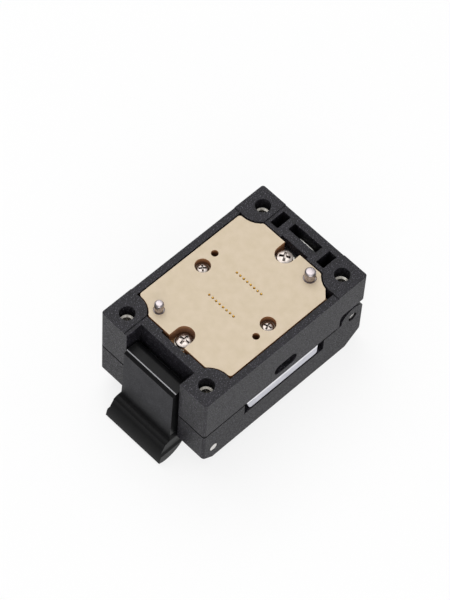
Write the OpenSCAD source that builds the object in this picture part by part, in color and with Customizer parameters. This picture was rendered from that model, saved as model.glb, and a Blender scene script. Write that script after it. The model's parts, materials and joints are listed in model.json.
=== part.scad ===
// Clamshell test socket for a wide 16-lead small-outline package.
// The contact side is up: the board seats on the four corner bosses at z = 0.
// +X points to the lid hinge, the latch is at -X, and the lid closes from below.

/* [Housing] */
// Length of the housing, from latch end to hinge end
socket_len = 58; // [52:0.5:66]
// Width of the housing
socket_wid = 38.5; // [37.5:0.5:48]
// Height of the base, from the boss tops to the parting line
base_ht = 15.6; // [15:0.1:18]
// Thickness of the lid
lid_ht = 13.3; // [12.5:0.1:16]
// Gap at the parting line between base and lid
part_gap = 0.24; // [0.1:0.02:0.3]
// Step from the boss tops down to the rails and the retainer plate
boss_step = 0.3; // [0.2:0.1:0.8]
// Radius of the housing's upright corners
corner_r = 0.8; // [0.3:0.1:1.5]
// Length of a corner boss along the housing
boss_len = 10.5; // [9:0.1:11]
// Width of a corner boss across the housing
boss_wid = 8.5; // [7.5:0.1:9]

/* [Contacts] */
// Pitch of the contacts along a row
pitch = 1.27; // [1:0.01:1.35]
// Number of contacts in one row
row_count = 8; // [4:1:9]
// Distance between the two rows
row_gap = 9.9; // [9:0.1:11]
// Diameter of a probe barrel
barrel_d = 0.8; // [0.7:0.02:0.86]
// Diameter of a probe plunger
plunger_d = 0.5; // [0.4:0.02:0.56]
// Height of the board tips above the retainer plate
tip_rise = 0.4; // [0.1:0.1:0.6]
// Travel of the plungers into the barrel
plunger_travel = 0.3; // [0.2:0.05:0.4]

/* [Retainer plate and probe block] */
// Length of the retainer plate
plate_len = 41.4; // [40:0.1:42]
// Width of the retainer plate
plate_wid = 33.5; // [32:0.1:34.5]
// Thickness of the retainer plate
plate_t = 3.6; // [3.2:0.1:3.8]
// Gap round the retainer plate
plate_gap = 0.4; // [0.2:0.05:0.5]
// Radius of the retainer plate's corners
plate_r = 0.9; // [0.4:0.1:1.2]
// Bevel of the one corner that marks contact 1
plate_mark = 2.1; // [1.5:0.1:2.6]
// Radius of the scallop that clears a corner boss
scallop_r = 6.6; // [6:0.1:7]
// Thickness of the probe block's flange
flange_t = 2.5; // [2.2:0.1:3]
// Length of the window through the base
window_len = 28.6; // [28:0.1:29.5]
// Width of the window through the base
window_wid = 23.6; // [23:0.1:24.5]
// Clearance of the probe block and the guide plate in the window
window_fit = 0.25; // [0.15:0.05:0.35]

/* [Guide plate] */
// Thickness of the floating guide plate
guide_t = 3.1; // [2.9:0.1:3.3]
// Float of the guide plate towards the probe block
guide_travel = 0.4; // [0.2:0.05:0.5]
// Length of the package nest across the lead rows
nest_len = 13.2; // [12.8:0.1:13.6]
// Width of the package nest along the lead rows
nest_wid = 11.2; // [10.8:0.1:11.6]
// Depth of the package nest
nest_deep = 2; // [1.8:0.1:2.1]

/* [Fasteners and dowels] */
// Distance between the board screws along the housing
screw_span = 48.6; // [48:0.1:49]
// Distance between the board screws across the housing
screw_width = 29.1; // [28.6:0.1:29.4]
// Outer diameter of the threaded inserts
insert_d = 4.3; // [4:0.1:4.6]
// Thread hole of the inserts
insert_bore = 2.5; // [2.4:0.1:3]
// Length of the inserts
insert_len = 5; // [4:0.1:5.2]
// Depth of the inserts below the boss tops
insert_deep = 4; // [3:0.1:4]
// Diameter of the larger dowel
dowel_big = 3; // [2.5:0.1:3.2]
// Diameter of the smaller dowel
dowel_small = 2.5; // [2:0.1:3]
// Height of the dowel tops above the boss tops
dowel_rise = 2.9; // [2:0.1:4]
// Distance of the end screws from the retainer plate's ends
end_screw_inset = 2.7; // [2.5:0.1:3.2]
// Distance of the retainer screws from the retainer plate's long edges
retainer_screw_inset = 4.75; // [4.4:0.05:5.2]
// Diameter of the end screws' heads
end_head_d = 4.6; // [4.2:0.1:4.8]
// Diameter of the retainer screws' heads
retainer_head_d = 3.3; // [3:0.1:3.6]

/* [Hinge and latch] */
// Diameter of the hinge pin and of the latch pin
pin_d = 2.5; // [2.2:0.1:2.8]
// Running clearance of a pin, on the radius
pin_fit = 0.05; // [0.03:0.01:0.08]
// Distance of the hinge pin from the hinge end
hinge_inset = 4; // [4:0.1:4.4]
// Radius of the lid's hinge ears and of the base's knuckles
ear_r = 4.2; // [3.8:0.1:4.4]
// Width of one hinge ear
ear_wid = 6; // [5:0.1:6.4]
// Distance of the latch pin from the latch end
latch_inset = 3.8; // [3.7:0.1:4.2]
// Height of the latch pin below the boss tops
latch_pin_low = 24.4; // [24:0.1:25.2]
// Width of the notch that the latch lies in
latch_slot_wid = 19.5; // [19:0.1:20.5]
// Side clearance of the latch in its notch
latch_side_gap = 0.65; // [0.4:0.05:0.9]
// Width of the latch's thumb tab
tab_wid = 20.2; // [19.8:0.1:22]

/* [Pressure plate] */
// Length of the pressure plate
press_len = 25.8; // [24:0.1:26.4]
// Thickness of the pressure plate
press_t = 3.9; // [3.6:0.1:4.2]
// Length of the lid's recess for the pressure plate
press_recess_len = 28.8; // [28:0.1:29.4]
// Float of the pressure plate into the lid
press_travel = 0.35; // [0.2:0.05:0.45]

/* [Hidden] */

$fn = 64;
cut = 0.01; // overshoot of a cut past the face that it opens
through = 1; // overshoot of a hole or pocket into open air
slip = 0.08; // radial clearance of a dowel in the plates
grip = 0.03; // radial clearance of a barrel in its hole
tip_slip = 0.07; // radial clearance of a plunger in its hole

half_len = socket_len / 2;
half_wid = socket_wid / 2;
rail_z = -boss_step;
part_z = -base_ht;
base_floor = part_z + part_gap / 2;
lid_top = part_z - part_gap / 2;
lid_floor = -base_ht - lid_ht;
hole_x = screw_span / 2;
hole_y = screw_width / 2;

plate_floor = rail_z - plate_t;
flange_floor = plate_floor - flange_t;
notch_x = plate_len / 2 - end_screw_inset;
notch_r = 2.75; // half width of the plate's end notches
retainer_y = plate_wid / 2 - retainer_screw_inset;
row_x = row_gap / 2;
relief_half = 4.65; // half width of the relief beside an end screw
relief_deep = 1; // how far a relief cuts into the end rail
window_r = 1; // corner radius of the parts in the window
base_web = 2; // base that is left below a blind hole
scallop_x = plate_len / 2 + 4; // centre of a scallop
scallop_y = plate_wid / 2 - 1;
sight_x = 4.9; // the two plain holes through the retainer plate
sight_y = 12.6;
sight_d = 2;

screw_d = 2.05; // shank of an end screw
end_seat = [0.3, 1.4]; // washer stack under the latch end's and hinge end's screw
end_head_ht = [1.2, 1.4];
end_shank = 8;
washer_d = end_head_d + 0.6;
retainer_shank = 1.7;
retainer_head_ht = 1.2;
retainer_seat = rail_z - 2.3;
head_slip = 0.5; // radial clearance of a head in its counterbore
dowel_shoulder = 0.2; // how much wider a dowel is below the retainer plate's face
dowel_chamfer = 0.35;
dowel_deep = base_ht - base_web;
big_dowel = [17.6, -9.45];
small_dowel = [-17.5, 9.95];

guide_face = part_z + 0.2; // the guide plate's face towards the lid
guide_top = guide_face + guide_t;
block_floor = guide_top + guide_travel + 0.4; // leaves 0.4 at the end of the float
nest_floor = guide_face + nest_deep;
tip_gap = 0.12; // how far the package tips stand out of the nest's floor
board_tip_z = rail_z + tip_rise;
package_tip_z = nest_floor - tip_gap;
barrel_top = plate_floor + 2.4;
barrel_low = block_floor + 0.5;
spring_top = -4.6; // ends of the coils inside the barrels
spring_low = -8.6;
tip_point = 0.15; // height of a plunger's point
point_d = 0.2; // flat at the end of a point
guide_screw_x = 11;
guide_screw_y = 8.6;
guide_screw_d = 2; // shoulder that the guide plate slides on
guide_thread = 1.6;
guide_thread_len = 3.5;
guide_head_d = 3.6;
guide_head_ht = 1.3;
guide_seat = guide_face + 1.7;
guide_spring_y = 3.6;
guide_spring_d = 3;
guide_spring_wire = 0.4;
guide_pocket = 3; // depth of a spring pocket in the probe block
guide_dimple = 0.6; // depth of a spring's seat in the guide plate
pocket_slip = 0.2; // radial clearance of a push spring in its pocket

pin_r = pin_d / 2;
hinge_x = half_len - hinge_inset;
hinge_z = part_z - 0.2;
pin_short = 0.45; // how far the hinge pin's ends lie in the ears
pin_recess_r = pin_r + 0.2;
bay_r = 2.8; // round bay of the hinge spring in the base
slit_x = [-0.8, 1.75]; // the bay's opening to the contact side, from the hinge line
slit_half = 5;
core_x = [-2.75, 2.2]; // core pockets beside the bay, from the hinge line
core_y = [7.05, 9.75];
core_floor = -9;
ear_in = half_wid - ear_wid; // inner face of a lid ear
ear_gap = 0.25; // side gap between an ear and the base
knuckle_out = ear_in - ear_gap;
knuckle_in = 7.5; // inner face of a base knuckle
sweep_gap = 0.6; // gap round the turning knuckles and corners
notch_len = 9; // length of the base's ear notches
notch_ht = 4.8; // height of the base's ear notches
ear_notch_r = 1.5; // inner corner radius of the ear notches
slot_x = 2.1; // half distance between the ends of the oblong side slots
slot_z = -11.4;
slot_r = 1.9;
slot_deep = 4.5;

slot_half = latch_slot_wid / 2;
catch_z = -9.1; // the ledge that the latch hooks on
blade_in = 1.9; // depth of the notch below the ledge
hook_deep = 5.2; // depth of the notch above the ledge
latch_x = -half_len + latch_inset;
latch_z = -latch_pin_low;
latch_barrel_r = 2.9;
latch_half = slot_half - latch_side_gap;
lid_slot_deep = latch_inset + latch_barrel_r + 0.5;
spring_bay = 3.2; // half width of the gap for the latch spring
bay_x = [-2.35, 5]; // reach of the gap from the latch pin
bay_z = [-4.3, 3.2];
flare = latch_side_gap - 0.08; // how far the latch widens above its tab

recess_half = press_recess_len / 2;
press_gap = 0.15; // gap above the pressure plate, and below it at full float
recess_floor = part_z - 2 * press_gap - press_t - press_travel;
press_top = part_z - press_gap;
press_low = press_top - press_t;
press_mid = -0.7; // the plate lies a little towards the latch in its recess
press_half_wid = half_wid - 0.35;
press_screw_x = 10;
press_screw_y = 15.2;
press_spring_x = 8.5;
press_spring_y = 9.5;
press_spring_d = 3.8;
press_spring_wire = 0.55;
press_pocket = 4.5; // depth of a spring pocket in the lid
press_screw_d = 2.2; // shoulder that slides in the lid
press_thread = 1.6;
press_thread_len = 3;
press_head_d = 4.2;
press_head_ht = 1.8;
press_seat = lid_floor + 4;
pusher_t = 0.6; // flange of the pusher
pusher_gap = 0.35; // gap between the pusher and the nest
pusher_xy = 4.2; // place of the pusher's screws
pusher_head_d = 2.5;
pusher_head_ht = 0.8;
pusher_shank = 3;
rib_half = 0.9; // half width of a rib that presses on the leads
rib_z = package_tip_z - 0.15; // the pusher's ribs stop short of the tips

// ---- shapes that repeat ----

module mirror_x() { children(); mirror([1, 0, 0]) children(); }
module mirror_y() { children(); mirror([0, 1, 0]) children(); }
module corners() { mirror_x() mirror_y() children(); }

// A block given by its low and high corners.
module block(low, high) { translate(low) cube(high - low); }

// A round bar along Y, between two distances from the middle.
module bar_y(x, z, r, from, to) {
    translate([x, from, z]) rotate([-90, 0, 0]) cylinder(r = r, h = to - from);
}

// A plate outline with round corners.
module round_box(len, wid, r) {
    polygon([for (turn = [0 : 90 : 270], step = [0 : 15 : 90])
        let (side = turn == 0 || turn == 270 ? 1 : -1, end = turn < 180 ? 1 : -1)
        [side * (len / 2 - r) + r * cos(turn + step), end * (wid / 2 - r) + r * sin(turn + step)]]);
}

// Places its child at the two dowels: the larger first, then the smaller.
module at_big_dowel() { translate([big_dowel[0], big_dowel[1], 0]) children(); }
module at_small_dowel() { translate([small_dowel[0], small_dowel[1], 0]) children(); }

// Places its child at every contact of both rows.
module at_contacts() {
    for (side = [-1, 1], i = [0 : row_count - 1])
        translate([side * row_x, (i - (row_count - 1) / 2) * pitch, 0]) children();
}

// A turned screw, head down to the seat at z = 0 and shank below.
module screw(head_d, head_ht, shank_d, shank_len, drive_d) {
    difference() {
        union() {
            translate([0, 0, head_ht - 0.3]) cylinder(d1 = head_d, d2 = head_d - 0.8, h = 0.3);
            cylinder(d = head_d, h = head_ht - 0.3);
            translate([0, 0, -shank_len]) cylinder(d = shank_d, h = shank_len + cut);
        }
        for (turn = [0, 90]) rotate(turn)
            translate([-drive_d / 2, -drive_d / 10, head_ht * 0.4]) cube([drive_d, drive_d / 5, head_ht]);
    }
}

// Rotation-carried frames along a wire: each holds the tangent and one normal.
function unit(v) = v / norm(v);
function wire_tangent(p, i) = unit(p[min(i + 1, len(p) - 1)] - p[max(i - 1, 0)]);
function wire_normal(n, t) = unit(n - (n * t) * t);
function wire_frames(p, n, i = 0) = i == len(p) ? [] :
    let (t = wire_tangent(p, i), m = wire_normal(n, t)) concat([[t, m]], wire_frames(p, m, i + 1));

// A wire of round section swept along points p, starting with the normal n.
module wire(p, wire_d, n, sides = 5) {
    frames = wire_frames(p, n);
    rings = len(p);
    points = [for (i = [0 : rings - 1], k = [0 : sides - 1])
        let (t = frames[i][0], m = frames[i][1], a = 360 * k / sides)
        p[i] + wire_d / 2 * (cos(a) * m + sin(a) * cross(t, m))];
    walls = [for (i = [0 : rings - 2], k = [0 : sides - 1])
        let (a = i * sides + k, b = i * sides + (k + 1) % sides)
        each [[a, b + sides, b], [a, a + sides, b + sides]]];
    ends = [[for (k = [0 : sides - 1]) k], [for (k = [sides - 1 : -1 : 0]) (rings - 1) * sides + k]];
    polyhedron(points, concat(walls, ends), convexity = 8);
}

// Points of a coil about +Z that starts at height z0 and ends at z1, with a dead turn at each end.
function coil(r, z0, z1, turns, wire_d, steps = 12) =
    [for (i = [0 : turns * steps])
        let (a = 360 * i / steps, u = i / steps,
            rise = max(0, min(1, (u - 0.75) / (turns - 1.5))))
        [r * cos(a), r * sin(a), z0 + wire_d / 2 + (z1 - z0 - wire_d) * (0.06 * u / turns + 0.94 * rise)]];

module push_spring(outer_d, wire_d, z0, z1, turns) {
    wire(coil((outer_d - wire_d) / 2, z0, z1, turns, wire_d), wire_d, [1, 0, 0]);
}

// ---- base ----

// The outline of the retainer plate, grown by a gap.
module plate_outline(grow) {
    difference() {
        square([plate_len + 2 * grow, plate_wid + 2 * grow], center = true);
        mirror_x() mirror_y() translate([scallop_x, scallop_y]) circle(r = scallop_r - grow);
    }
}

module base_body() {
    difference() {
        union() {
            translate([0, 0, base_floor]) linear_extrude(rail_z - base_floor)
                round_box(socket_len, socket_wid, corner_r);
            corners() intersection() {
                translate([0, 0, rail_z - 1]) linear_extrude(1 - rail_z)
                    round_box(socket_len, socket_wid, corner_r);
                block([half_len - boss_len, half_wid - boss_wid, rail_z - 1], [half_len, half_wid, 0]);
            }
            mirror_y() intersection() {
                bar_y(hinge_x, hinge_z, ear_r, knuckle_in, knuckle_out);
                block([0, 0, lid_floor], [half_len, half_wid, base_floor + 1]);
            }
        }
        // pocket of the retainer plate and of the flange below it
        translate([0, 0, flange_floor]) linear_extrude(base_ht) plate_outline(plate_gap);
        translate([0, 0, base_floor - through]) linear_extrude(base_ht)
            square([window_len, window_wid], center = true);
        // relief beside each end screw
        mirror_x() block([plate_len / 2 - 1, -relief_half, plate_floor],
            [plate_len / 2 + relief_deep, relief_half, through]);
    }
}

module base_frame() {
    color("#3c3c40") difference() {
        base_body();
        // latch notch: wide above the ledge, shallow below it
        block([-half_len - through, -slot_half, catch_z], [-half_len + hook_deep, slot_half, through]);
        block([-half_len - through, -slot_half, part_z - through],
            [-half_len + blade_in, slot_half, catch_z + cut]);
        // ear notches at the hinge end, with a round inner corner
        mirror_y() difference() {
            block([half_len - notch_len, knuckle_out, part_z - through],
                [half_len + through, half_wid + through, part_z + notch_ht]);
            difference() {
                block([half_len - notch_len - cut, knuckle_out - 1, part_z + notch_ht - ear_notch_r],
                    [half_len - notch_len + ear_notch_r, half_wid + 2, part_z + notch_ht + cut]);
                bar_y(half_len - notch_len + ear_notch_r, part_z + notch_ht - ear_notch_r,
                    ear_notch_r, 0, half_wid + 3);
            }
        }
        // board screw holes with their inserts
        corners() translate([hole_x, hole_y, -insert_deep - insert_len]) cylinder(d = insert_d, h = base_ht);
        // end screws and dowels
        mirror_x() translate([notch_x, 0, -dowel_deep]) cylinder(d = screw_d, h = base_ht);
        at_big_dowel() translate([0, 0, -dowel_deep]) cylinder(d = shoulder(dowel_big), h = base_ht);
        at_small_dowel() translate([0, 0, -dowel_deep]) cylinder(d = shoulder(dowel_small), h = base_ht);
        // hinge pin, spring bay and the pockets above it
        bar_y(hinge_x, hinge_z, pin_r + pin_fit, -half_wid, half_wid);
        bar_y(hinge_x, hinge_z, bay_r, -knuckle_in, knuckle_in);
        block([hinge_x - bay_r, -knuckle_in, part_z - through],
            [hinge_x + bay_r, knuckle_in, hinge_z + cut]);
        block([hinge_x + slit_x[0], -slit_half, hinge_z], [hinge_x + slit_x[1], slit_half, through]);
        mirror_y() block([hinge_x + core_x[0], core_y[0], core_floor],
            [hinge_x + core_x[1], core_y[1], through]);
        // oblong slots in the long sides
        mirror_y() mirror_x() hull() {
            for (x = [0, slot_x]) translate([x, half_wid + through, slot_z]) rotate([90, 0, 0])
                cylinder(r = slot_r, h = slot_deep + through, $fn = 32);
        }
    }
}

module thread_inserts() {
    lead_in = 0.37;
    color("#c9c5b8") corners() translate([hole_x, hole_y, -insert_deep - insert_len]) difference() {
        cylinder(d = insert_d, h = insert_len);
        translate([0, 0, -cut]) cylinder(d = insert_bore, h = insert_len + 2 * cut);
        translate([0, 0, insert_len - lead_in])
            cylinder(d1 = insert_bore, d2 = insert_bore + 2 * (lead_in + cut), h = lead_in + cut);
    }
}

// The pressed-in part of a dowel is wider than the nose that enters the board.
function shoulder(d) = d + 2 * dowel_shoulder;

module dowel(d) {
    step = rail_z - 0.15;
    translate([0, 0, -dowel_deep]) cylinder(d = shoulder(d), h = dowel_deep + step);
    translate([0, 0, step - cut]) cylinder(d = d, h = dowel_rise - dowel_chamfer - step + cut);
    translate([0, 0, dowel_rise - dowel_chamfer]) cylinder(d1 = d, d2 = d - 2 * dowel_chamfer, h = dowel_chamfer);
}

module board_dowels() {
    color("#c4c0b8") {
        at_big_dowel() dowel(dowel_big);
        at_small_dowel() dowel(dowel_small);
    }
}

// Holes that the plate and the flange share for the dowels.
module dowel_holes(low, high) {
    at_big_dowel() translate([0, 0, low]) cylinder(d = shoulder(dowel_big) + 2 * slip, h = high - low);
    at_small_dowel() translate([0, 0, low]) cylinder(d = shoulder(dowel_small) + 2 * slip, h = high - low);
}

module retainer_plate() {
    color("#dccbb0") difference() {
        translate([0, 0, plate_floor]) linear_extrude(plate_t) difference() {
            offset(r = plate_r, $fn = 32) offset(delta = -plate_r) plate_outline(0);
            // the bevelled corner
            translate([scallop_x - scallop_r, -plate_wid / 2]) rotate(45)
                square([8, plate_mark * sqrt(2)], center = true);
        }
        mirror_x() translate([0, 0, plate_floor - through]) linear_extrude(base_ht) {
            translate([notch_x, 0]) circle(r = notch_r);
            translate([notch_x, -notch_r]) square([end_screw_inset + through, 2 * notch_r]);
        }
        mirror_y() translate([0, retainer_y, 0]) {
            translate([0, 0, plate_floor - through]) cylinder(d = retainer_shank + head_slip, h = base_ht);
            translate([0, 0, retainer_seat]) cylinder(d = retainer_head_d + 2 * head_slip, h = base_ht);
        }
        for (side = [-1, 1]) translate([sight_x * side, sight_y * side, plate_floor - through])
            cylinder(d = sight_d, h = base_ht);
        dowel_holes(plate_floor - through, through);
        at_contacts() {
            translate([0, 0, plate_floor - through])
                cylinder(d = barrel_d + 2 * grip, h = through + barrel_top - plate_floor, $fn = 20);
            translate([0, 0, barrel_top - cut]) cylinder(d = plunger_d + 2 * tip_slip, h = plate_t, $fn = 20);
        }
    }
}

module retainer_screws() {
    shank_len = retainer_seat - flange_floor - 0.3;
    color("#cfcdc6") mirror_y() translate([0, retainer_y, retainer_seat])
        screw(retainer_head_d, retainer_head_ht, retainer_shank, shank_len, 2);
}

// Outline of the parts that fill the window.
module window_outline() { round_box(window_len - 2 * window_fit, window_wid - 2 * window_fit, window_r); }

module probe_block() {
    color("#b98a58") difference() {
        union() {
            translate([0, 0, flange_floor]) linear_extrude(flange_t) plate_outline(0);
            translate([0, 0, block_floor]) linear_extrude(flange_floor - block_floor + cut) window_outline();
        }
        mirror_x() translate([notch_x, 0, flange_floor - through]) cylinder(d = screw_d + 0.75, h = base_ht);
        mirror_y() translate([0, retainer_y, block_floor]) cylinder(d = retainer_shank, h = base_ht);
        dowel_holes(flange_floor - through, plate_floor + through);
        at_contacts() {
            translate([0, 0, barrel_low]) cylinder(d = barrel_d + 2 * grip, h = base_ht, $fn = 20);
            translate([0, 0, block_floor - through]) cylinder(d = plunger_d + 2 * tip_slip, h = 3, $fn = 20);
        }
        corners() {
            translate([guide_screw_x, guide_screw_y, block_floor - through])
                cylinder(d = guide_thread, h = guide_thread_len + 0.5 + through);
            translate([guide_screw_x, guide_spring_y, block_floor - through])
                cylinder(d = guide_spring_d + 2 * pocket_slip, h = through + guide_pocket);
        }
    }
}

module end_screws() {
    color("#d6d4cd") for (i = [0, 1]) translate([(2 * i - 1) * notch_x, 0, plate_floor + end_seat[i]])
        screw(end_head_d, end_head_ht[i], screw_d, end_shank + end_seat[i], 2.8);
}

module end_washers() {
    color("#c9c7c0") for (i = [0, 1]) translate([(2 * i - 1) * notch_x, 0, plate_floor]) difference() {
        cylinder(d = washer_d, h = end_seat[i]);
        translate([0, 0, -through]) cylinder(d = screw_d + 0.6, h = end_seat[i] + 2 * through);
    }
}

module probe_barrels() {
    color("#d8b36a") at_contacts() difference() {
        translate([0, 0, barrel_low]) cylinder(d = barrel_d, h = barrel_top - barrel_low, $fn = 20);
        translate([0, 0, barrel_low - through]) cylinder(d = plunger_d + 2 * grip, h = base_ht, $fn = 20);
    }
}

// The coil inside each barrel, drawn as a plain sleeve between the plunger heads.
module probe_springs() {
    color("#9c9a94") at_contacts() difference() {
        translate([0, 0, spring_low]) cylinder(d = plunger_d, h = spring_top - spring_low, $fn = 16);
        translate([0, 0, spring_low - through]) cylinder(d = plunger_d - 0.2, h = base_ht, $fn = 16);
    }
}

module board_plungers() {
    neck = board_tip_z - tip_point;
    color("#e3b94e") at_contacts() {
        translate([0, 0, spring_top]) cylinder(d = plunger_d, h = neck - spring_top, $fn = 20);
        translate([0, 0, neck]) cylinder(d1 = plunger_d, d2 = point_d, h = tip_point, $fn = 20);
    }
}

module package_plungers() {
    neck = package_tip_z + tip_point;
    color("#e3b94e") at_contacts() {
        translate([0, 0, neck]) cylinder(d = plunger_d, h = spring_low - neck, $fn = 20);
        translate([0, 0, package_tip_z]) cylinder(d1 = point_d, d2 = plunger_d, h = tip_point, $fn = 20);
    }
}

// ---- floating guide plate ----

module guide_plate() {
    color("#d4c2a4") difference() {
        translate([0, 0, guide_face]) linear_extrude(guide_t) window_outline();
        // nest for the package
        block([-nest_len / 2, -nest_wid / 2, guide_face - through], [nest_len / 2, nest_wid / 2, nest_floor]);
        at_contacts() translate([0, 0, guide_face])
            cylinder(d = plunger_d + 2 * tip_slip, h = guide_t + through, $fn = 20);
        corners() {
            translate([guide_screw_x, guide_screw_y, guide_face - through]) {
                cylinder(d = guide_screw_d + 0.3, h = base_ht);
                cylinder(d = guide_head_d + 0.4, h = through + guide_seat - guide_face);
            }
            translate([guide_screw_x, guide_spring_y, guide_top - guide_dimple])
                cylinder(d = guide_spring_d + 2 * pocket_slip, h = through);
        }
    }
}

module guide_screws() {
    shoulder_len = block_floor - guide_seat;
    color("#cfcdc6") corners() translate([guide_screw_x, guide_screw_y, guide_seat]) mirror([0, 0, 1]) {
        screw(guide_head_d, guide_head_ht, guide_screw_d, shoulder_len, 1.8);
        translate([0, 0, -shoulder_len - guide_thread_len]) cylinder(d = guide_thread, h = guide_thread_len + cut);
    }
}

module guide_springs() {
    color("#b9b7b0") corners() translate([guide_screw_x, guide_spring_y, 0])
        push_spring(guide_spring_d, guide_spring_wire, guide_top - guide_dimple, block_floor + guide_pocket, 4);
}

// ---- lid ----

// The lid's side view in X and Z: bevelled at the latch end, chamfered at the hinge end.
module lid_profile() {
    latch_bevel = [3.5, 2.5];
    hinge_bevel = [5.7, 4.6];
    polygon([[-half_len, lid_top], [half_len, lid_top], [half_len, lid_floor + hinge_bevel[1]],
        [half_len - hinge_bevel[0], lid_floor], [latch_bevel[0] - half_len, lid_floor],
        [-half_len, lid_floor + latch_bevel[1]]]);
}

module lid_body() {
    difference() {
        union() {
            intersection() {
                translate([0, half_wid, 0]) rotate([90, 0, 0]) linear_extrude(socket_wid) lid_profile();
                translate([0, 0, lid_floor - through]) linear_extrude(base_ht)
                    round_box(socket_len, socket_wid, corner_r);
            }
            mirror_y() intersection() {
                union() {
                    bar_y(hinge_x, hinge_z, ear_r, ear_in, half_wid);
                    block([hinge_x - ear_r, ear_in, lid_top - 1], [half_len, half_wid, hinge_z]);
                }
                translate([0, 0, lid_top - 1]) linear_extrude(base_ht) round_box(socket_len, socket_wid, corner_r);
            }
        }
        // the turning knuckles and the base's end corner
        block([hinge_x - ear_r - sweep_gap, -ear_in, hinge_z - ear_r - sweep_gap],
            [half_len + through, ear_in, through]);
        // recess of the pressure plate, open at both long sides
        block([-recess_half, -half_wid - through, recess_floor], [recess_half, half_wid + through, through]);
        // slot of the latch
        block([-half_len - through, -slot_half, lid_floor - through],
            [-half_len + lid_slot_deep, slot_half, through]);
    }
}

module lid_frame() {
    color("#3a3a3e") difference() {
        lid_body();
        bar_y(hinge_x, hinge_z, pin_r, -half_wid - through, half_wid + through);
        mirror_y() bar_y(hinge_x, hinge_z, pin_recess_r, half_wid - 1.2, half_wid + through);
        bar_y(latch_x, latch_z, pin_r, -half_wid - through, half_wid + through);
        corners() {
            translate([press_screw_x + press_mid, press_screw_y, lid_floor - through]) {
                cylinder(d = press_screw_d + 0.2, h = lid_ht);
                cylinder(d = press_head_d + 0.4, h = press_seat - lid_floor + through);
            }
            translate([press_spring_x + press_mid, press_spring_y, recess_floor - press_pocket])
                cylinder(d = press_spring_d + 0.6, h = press_pocket + through);
        }
    }
}

module hinge_pin() {
    color("#d2d0ca") bar_y(hinge_x, hinge_z, pin_r, pin_short - half_wid, half_wid - pin_short);
}

// Double torsion spring: its bridge pushes the base open and its two legs press on the lid.
function hinge_spring_half(side) =
    let (r = 2, turns = 3, steps = 12, y_out = 7, y_in = 3.4)
    concat(
        [[hinge_x - 4, side * y_out, hinge_z - 4.2], [hinge_x - 2, side * y_out, hinge_z - 3.1]],
        [for (i = [0 : turns * steps + 4])
            let (a = -90 + 360 * i / steps, u = i / (turns * steps + 4))
            [hinge_x + r * cos(a), side * (y_out + (y_in - y_out) * u), hinge_z + r * sin(a)]],
        [[hinge_x + 1.3, side * 3.1, hinge_z + 2.6], [hinge_x + 1.3, side * 2.9, hinge_z + 10.8],
            [hinge_x + 1.3, side * 2.5, hinge_z + 11.3]]);

module hinge_spring() {
    far = hinge_spring_half(1);
    near = hinge_spring_half(-1);
    color("#c8c6c0") wire(concat(far, [for (i = [len(near) - 1 : -1 : 0]) near[i]]), 0.8, [0, 1, 0.1]);
}

// ---- latch ----

// Side view of the latch in X and Z, measured from the latch end and the boss tops.
function arc(cx, cz, r, from, to, n) = [for (i = [0 : n]) let (a = from + (to - from) * i / n)
    [cx + r * cos(a), cz + r * sin(a)]];

module latch_profile() {
    nose = catch_z + 0.2;
    barrel_z = -latch_pin_low;
    translate([-half_len, 0]) {
        polygon(concat(
            // top, nose and the blade's inner side, down to the barrel
            [[-0.46, -5.44]],
            arc(2.2, -7.44, 2, 90, 5, 12),
            [[4.2, nose], [1.75, nose], [1.45, nose - 0.3], [1.45, barrel_z + 1], [latch_inset, barrel_z],
                [latch_inset + 0.5, barrel_z - 2.6]],
            // belly
            arc(-4.2, -26.35, 6.95, -25, -98, 24),
            // tip and thumb face of the tab
            [[-6.4, -32.75]],
            arc(5.2, -34.2, 12, 172, 145, 10),
            arc(-2.6, -29, 3, 124, 95, 6),
            // blade
            [[-2.45, -25.7], [-2.15, -24.6], [-1.9, -21], [-1.5, -6.2]]));
    }
}

// Half of the latch's front view in Y and Z: a straight blade that widens into the tab.
module latch_front() {
    tab_half = tab_wid / 2;
    polygon([[0, 0], [latch_half - 0.1, 0], [latch_half, -12], [latch_half, -24.6],
        [latch_half + flare, -26], [latch_half + flare, lid_floor - 0.2], [tab_half, lid_floor - 1.2],
        [tab_half, lid_floor - 6], [0, lid_floor - 6]]);
}

module latch() {
    color("#26272a") difference() {
        union() {
            intersection() {
                translate([0, half_wid, 0]) rotate([90, 0, 0]) linear_extrude(socket_wid) latch_profile();
                translate([-half_len - 10, 0, 0]) rotate([90, 0, 90]) linear_extrude(20) mirror_x() latch_front();
            }
            bar_y(latch_x, latch_z, latch_barrel_r, -latch_half, latch_half);
        }
        bar_y(latch_x, latch_z, pin_r + pin_fit, -half_wid, half_wid);
        // bay of the return spring in the middle of the barrel
        block([latch_x + bay_x[0], -spring_bay, latch_z + bay_z[0]],
            [latch_x + bay_x[1], spring_bay, latch_z + bay_z[1]]);
    }
}

module latch_pin() {
    color("#d2d0ca") bar_y(latch_x, latch_z, pin_r, -half_wid, half_wid);
}

// Torsion spring on the latch pin: one leg pushes the tab outwards, the other bears on the lid's slot wall.
module latch_spring() {
    r = 1.75;
    turns = 5;
    steps = 12;
    color("#b9b7b0") wire(concat(
        [[latch_x - 1.95, 2.4, latch_z - 3.9], [latch_x - 1.85, 2.4, latch_z - 2]],
        [for (i = [0 : turns * steps + 6])
            let (a = 180 - 360 * i / steps, u = i / (turns * steps + 6))
            [latch_x + r * cos(a), 2.4 - 4.8 * u, latch_z + r * sin(a)]],
        [[latch_x + 2, -2.4, latch_z - 2], [latch_x + 2.9, -2.4, latch_z - 3.9]]), 0.6, [0, 1, 0]);
}

// ---- pressure plate ----

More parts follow.
